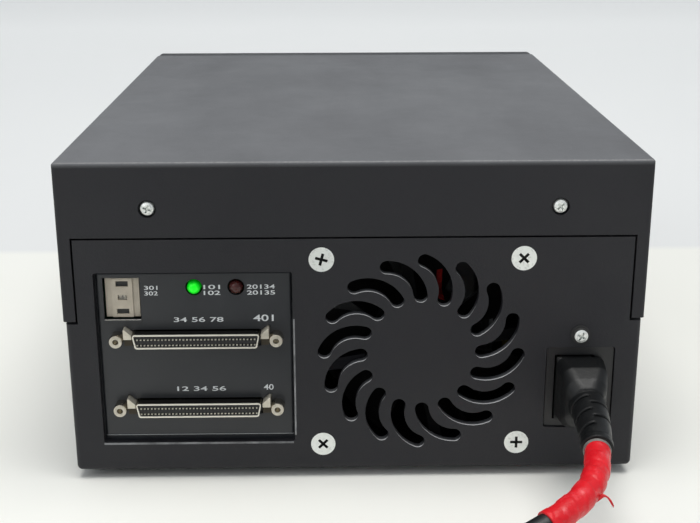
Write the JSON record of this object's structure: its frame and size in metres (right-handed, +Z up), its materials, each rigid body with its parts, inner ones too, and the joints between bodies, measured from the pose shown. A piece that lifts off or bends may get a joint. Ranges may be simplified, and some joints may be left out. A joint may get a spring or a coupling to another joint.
{
  "type": "data tape drive",
  "caption": "Free-standing data tape drive: two-part moulded case, swirl fan grille, twin data connectors, plugged-in mains cord, cartridge drive and supply inside.",
  "frame": {"origin": "on the table, under the middle of the case", "axes": "+Z up, +Y from the connector panel to the front bezel, +X to the right when the connector panel is looked at"},
  "size_m": [0.208, 0.496, 0.1205],
  "materials": {
    "case_plastic": "fine moulded texture",
    "bezel_plastic": "fine moulded texture",
    "feet_rubber": "matt",
    "screw_steel": "zinc plated",
    "plate_paint": "black powder coat",
    "board_green": "solder mask",
    "connector_metal": "nickel plated",
    "insulator_black": "smooth",
    "contact_gold": "plated",
    "led_green": "lit",
    "led_red": "dark",
    "switch_beige": "smooth",
    "wheel_white": "smooth",
    "key_dark": "smooth",
    "fan_black": "moulded",
    "fan_winding": "enamelled wire",
    "wire_insulation": "smooth",
    "inlet_black": "smooth",
    "blade_brass": "nickel plated",
    "sheet_steel": "zinc plated",
    "component_mix": "mixed",
    "cast_aluminium": "as cast",
    "reel_plastic": "smooth",
    "button_grey": "smooth",
    "rocker_black": "smooth",
    "lens_clear": "translucent",
    "cord_rubber": "satin",
    "tape_red": "glossy vinyl tape"
  },
  "bodies": {
    "case": {"ac_leads": "wire_insulation", "activity_led": "led_green", "cord_coil": "cord_rubber", "cord_plug": "cord_rubber", "cord_tail": "cord_rubber", "cover_screws": "screw_steel", "dc_harness": "wire_insulation", "drive_bezel": "bezel_plastic", "drive_board": "board_green", "drive_chassis": "cast_aluminium", "drive_cover": "sheet_steel", "drive_rails": "sheet_steel", "drive_screws": "screw_steel", "earth_screw": "screw_steel", "fan_frame": "fan_black", "fan_lead": "wire_insulation", "fan_screws": "screw_steel", "fan_stator": "fan_winding", "fault_led": "led_red", "front_bezel": "bezel_plastic", "id_switch_body": "switch_beige", "indicator_lenses": "lens_clear", "inlet_blades": "blade_brass", "inlet_body": "inlet_black", "io_board": "board_green", "io_plate": "plate_paint", "jack_screws": "connector_metal", "latch_brackets": "connector_metal", "lower_connector_contacts": "contact_gold", "lower_connector_insulator": "insulator_black", "lower_connector_shell": "connector_metal", "lower_shell": "case_plastic", "mains_blades": "blade_brass", "mains_plug": "cord_rubber", "power_cord": "cord_rubber", "psu_board": "board_green", "psu_bracket": "sheet_steel", "psu_parts": "component_mix", "red_tape": "tape_red", "reel_motors": "cast_aluminium", "ribbon_cable": "wire_insulation", "rubber_feet": "feet_rubber", "switch_body": "inlet_black", "upper_connector_contacts": "contact_gold", "upper_connector_insulator": "insulator_black", "upper_connector_shell": "connector_metal", "upper_shell": "case_plastic"},
    "id_wheel": {"id_wheel": "wheel_white"},
    "id_up_button": {"id_up_button": "key_dark"},
    "id_down_button": {"id_down_button": "key_dark"},
    "fan_rotor": {"fan_rotor": "fan_black"},
    "power_rocker": {"power_rocker": "rocker_black"},
    "cartridge_door": {"cartridge_door": "bezel_plastic"},
    "eject_button": {"eject_button": "button_grey"},
    "cartridge_tray": {"cartridge_tray": "sheet_steel"},
    "take_up_reel": {"take_up_reel": "reel_plastic"},
    "supply_clutch": {"supply_clutch": "reel_plastic"},
    "tape_head": {"tape_head": "cast_aluminium"},
    "guide_roller_left": {"guide_roller_left": "cast_aluminium"},
    "guide_roller_right": {"guide_roller_right": "cast_aluminium"}
  },
  "joints": [
    {"name": "fan_spin", "type": "hinge", "parent": "case", "child": "fan_rotor", "pos_m": [0.0241, -0.12, 0.04945], "axis": [0, 1, 0], "continuous": true},
    {"name": "id_wheel_turn", "type": "hinge", "parent": "case", "child": "id_wheel", "pos_m": [-0.0829, -0.1282, 0.07035], "axis": [1, 0, 0], "continuous": true},
    {"name": "id_up_press", "type": "slide", "parent": "case", "child": "id_up_button", "axis": [0, 1, 0], "range_m": [0, 0.0012], "stiffness_N_per_m": 300},
    {"name": "id_down_press", "type": "slide", "parent": "case", "child": "id_down_button", "axis": [0, 1, 0], "range_m": [0, 0.0012], "stiffness_N_per_m": 300},
    {"name": "rocker_throw", "type": "hinge", "parent": "case", "child": "power_rocker", "pos_m": [0.077, 0.1355, 0.084], "axis": [1, 0, 0], "range_deg": [-18, 0]},
    {"name": "door_swing", "type": "hinge", "parent": "case", "child": "cartridge_door", "pos_m": [-0.0236, 0.1348, 0.07675], "axis": [1, 0, 0], "range_deg": [-75, 0], "stiffness_Nm_per_rad": 0.004},
    {"name": "eject_press", "type": "slide", "parent": "case", "child": "eject_button", "axis": [0, -1, 0], "range_m": [0, 0.0015], "stiffness_N_per_m": 400},
    {"name": "tray_load", "type": "slide", "parent": "case", "child": "cartridge_tray", "axis": [0, -1, 0], "range_m": [0, 0.016]},
    {"name": "take_up_spin", "type": "hinge", "parent": "case", "child": "take_up_reel", "pos_m": [0.0064, -0.0409, 0.0655], "axis": [0, 0, 1], "continuous": true},
    {"name": "clutch_spin", "type": "hinge", "parent": "case", "child": "supply_clutch", "pos_m": [-0.0236, 0.0414, 0.0445], "axis": [0, 0, 1], "continuous": true},
    {"name": "head_track", "type": "slide", "parent": "case", "child": "tape_head", "axis": [0, 0, 1], "range_m": [-0.0013, 0.0013], "stiffness_N_per_m": 2000, "springref_m": 0.00004},
    {"name": "left_roller_spin", "type": "hinge", "parent": "case", "child": "guide_roller_left", "pos_m": [-0.0816, -0.0199, 0.0655], "axis": [0, 0, 1], "continuous": true},
    {"name": "right_roller_spin", "type": "hinge", "parent": "case", "child": "guide_roller_right", "pos_m": [-0.0456, -0.0199, 0.0655], "axis": [0, 0, 1], "continuous": true}
  ]
}
